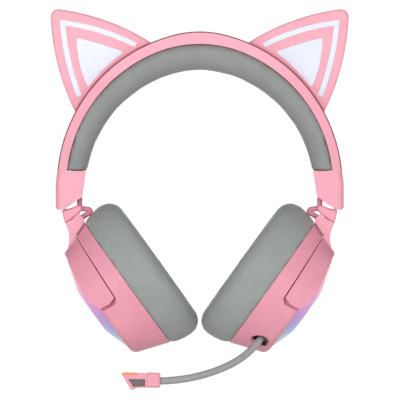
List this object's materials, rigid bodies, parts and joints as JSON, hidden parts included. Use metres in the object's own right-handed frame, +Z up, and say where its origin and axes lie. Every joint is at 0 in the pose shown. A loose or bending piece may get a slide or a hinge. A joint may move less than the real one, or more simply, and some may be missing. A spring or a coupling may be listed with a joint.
{
  "type": "gaming headset",
  "caption": "Over-ear headset with lit cat ears on a padded headband, sliding swivelling cups with light rings and a bendable boom microphone.",
  "frame": {"origin": "middle of the headband cushion's underside, where the headset hangs on a head or a stand", "axes": "+Z up, +X towards the wearer's left ear, -Y the way the wearer faces"},
  "size_m": [0.1964, 0.094, 0.2497],
  "materials": {
    "pink_plastic": "satin",
    "dark_pink_plastic": "satin",
    "inner_plastic": "matt",
    "grey_leather": "soft grain",
    "scrim_cloth": "knit",
    "light_plastic": "milky",
    "steel": "brushed",
    "screw_steel": "plain",
    "rubber_grey": "matt",
    "board_green": "satin",
    "cell_foil": "foil",
    "grille_grey": "mesh",
    "mic_led": "clear",
    "pink_cable": "satin"
  },
  "bodies": {
    "headband": {"band_shell": "pink_plastic", "band_cover": "dark_pink_plastic", "spring_strip": "steel", "cushion_carrier": "inner_plastic", "band_cushion": "grey_leather", "ear_screws": "screw_steel", "end_cap_right": "pink_plastic", "ear_front_right": "pink_plastic", "ear_back_right": "pink_plastic", "ear_light_right": "light_plastic", "ear_board_right": "board_green", "end_cap_left": "pink_plastic", "ear_front_left": "pink_plastic", "ear_back_left": "pink_plastic", "ear_light_left": "light_plastic", "ear_board_left": "board_green"},
    "slider_right": {"slide_strip_right": "steel", "stem_right": "pink_plastic", "swivel_pin_right": "screw_steel", "cable_right": "pink_cable"},
    "yoke_right_body": {"yoke_right": "pink_plastic", "pivot_pins_right": "screw_steel"},
    "cup_right": {"cup_shell_right": "pink_plastic", "baffle_right": "inner_plastic", "driver_right": "inner_plastic", "baffle_screws_right": "screw_steel", "light_ring_right": "light_plastic", "outer_plate_right": "pink_plastic", "ear_cushion_right": "grey_leather", "scrim_right": "scrim_cloth", "battery_right": "cell_foil"},
    "slider_left": {"slide_strip_left": "steel", "stem_left": "pink_plastic", "swivel_pin_left": "screw_steel", "cable_left": "pink_cable"},
    "yoke_left_body": {"yoke_left": "pink_plastic", "pivot_pins_left": "screw_steel"},
    "cup_left": {"cup_shell_left": "pink_plastic", "baffle_left": "inner_plastic", "driver_left": "inner_plastic", "baffle_screws_left": "screw_steel", "light_ring_left": "light_plastic", "outer_plate_left": "pink_plastic", "ear_cushion_left": "grey_leather", "scrim_left": "scrim_cloth", "main_board": "board_green", "volume_encoder": "inner_plastic", "switches": "inner_plastic", "usb_port": "screw_steel", "mic_guide": "inner_plastic"},
    "volume_wheel_body": {"volume_wheel": "dark_pink_plastic"},
    "power_button_body": {"power_button": "dark_pink_plastic"},
    "mute_button_body": {"mute_button": "dark_pink_plastic"},
    "boom_root_body": {"boom_root": "rubber_grey"},
    "boom_inner_body": {"boom_inner": "rubber_grey"},
    "boom_outer_body": {"boom_outer": "rubber_grey", "mic_housing": "pink_plastic", "mic_capsule": "inner_plastic", "mic_grille": "grille_grey", "mic_light": "mic_led"}
  },
  "joints": [
    {"name": "height_right", "type": "slide", "parent": "headband", "child": "slider_right", "axis": [0, 0, -1], "range_m": [0, 0.022]},
    {"name": "swivel_right", "type": "hinge", "parent": "slider_right", "child": "yoke_right_body", "pos_m": [-0.08385, 0, -0.09845], "axis": [-0.5835, 0, 0.8121], "range_deg": [-10, 10]},
    {"name": "tilt_right", "type": "hinge", "parent": "yoke_right_body", "child": "cup_right", "pos_m": [-0.06337, 0, -0.1506], "axis": [0, 1, 0], "range_deg": [0, 10]},
    {"name": "height_left", "type": "slide", "parent": "headband", "child": "slider_left", "axis": [0, 0, -1], "range_m": [0, 0.022]},
    {"name": "swivel_left", "type": "hinge", "parent": "slider_left", "child": "yoke_left_body", "pos_m": [0.08385, 0, -0.09845], "axis": [0.5835, 0, 0.8121], "range_deg": [-10, 10]},
    {"name": "tilt_left", "type": "hinge", "parent": "yoke_left_body", "child": "cup_left", "pos_m": [0.06337, 0, -0.1506], "axis": [0, -1, 0], "range_deg": [0, 10]},
    {"name": "volume_wheel_turn", "type": "hinge", "parent": "cup_left", "child": "volume_wheel_body", "pos_m": [0.04407, 0.03254, -0.15432], "axis": [-0.8121, 0, 0.5835], "continuous": true},
    {"name": "power_button_press", "type": "slide", "parent": "cup_left", "child": "power_button_body", "axis": [0.348, -0.8027, 0.4843], "range_m": [0, 0.0008], "stiffness_N_per_m": 600},
    {"name": "mute_button_press", "type": "slide", "parent": "cup_left", "child": "mute_button_body", "axis": [-0.0681, -0.9932, -0.0948], "range_m": [0, 0.0008], "stiffness_N_per_m": 600},
    {"name": "mic_slide", "type": "slide", "parent": "cup_left", "child": "boom_root_body", "axis": [0.584, 0.4502, 0.6755], "range_m": [0, 0.0025]},
    {"name": "boom_bend_inner", "type": "hinge", "parent": "boom_root_body", "child": "boom_inner_body", "pos_m": [0.0373, -0.0234, -0.18033], "axis": [0, 0.8321, -0.5546], "range_deg": [-30, 5]},
    {"name": "boom_bend_outer", "type": "hinge", "parent": "boom_inner_body", "child": "boom_outer_body", "pos_m": [0.01724, -0.03308, -0.19485], "axis": [0, 0.8321, -0.5546], "range_deg": [-30, 5]}
  ]
}
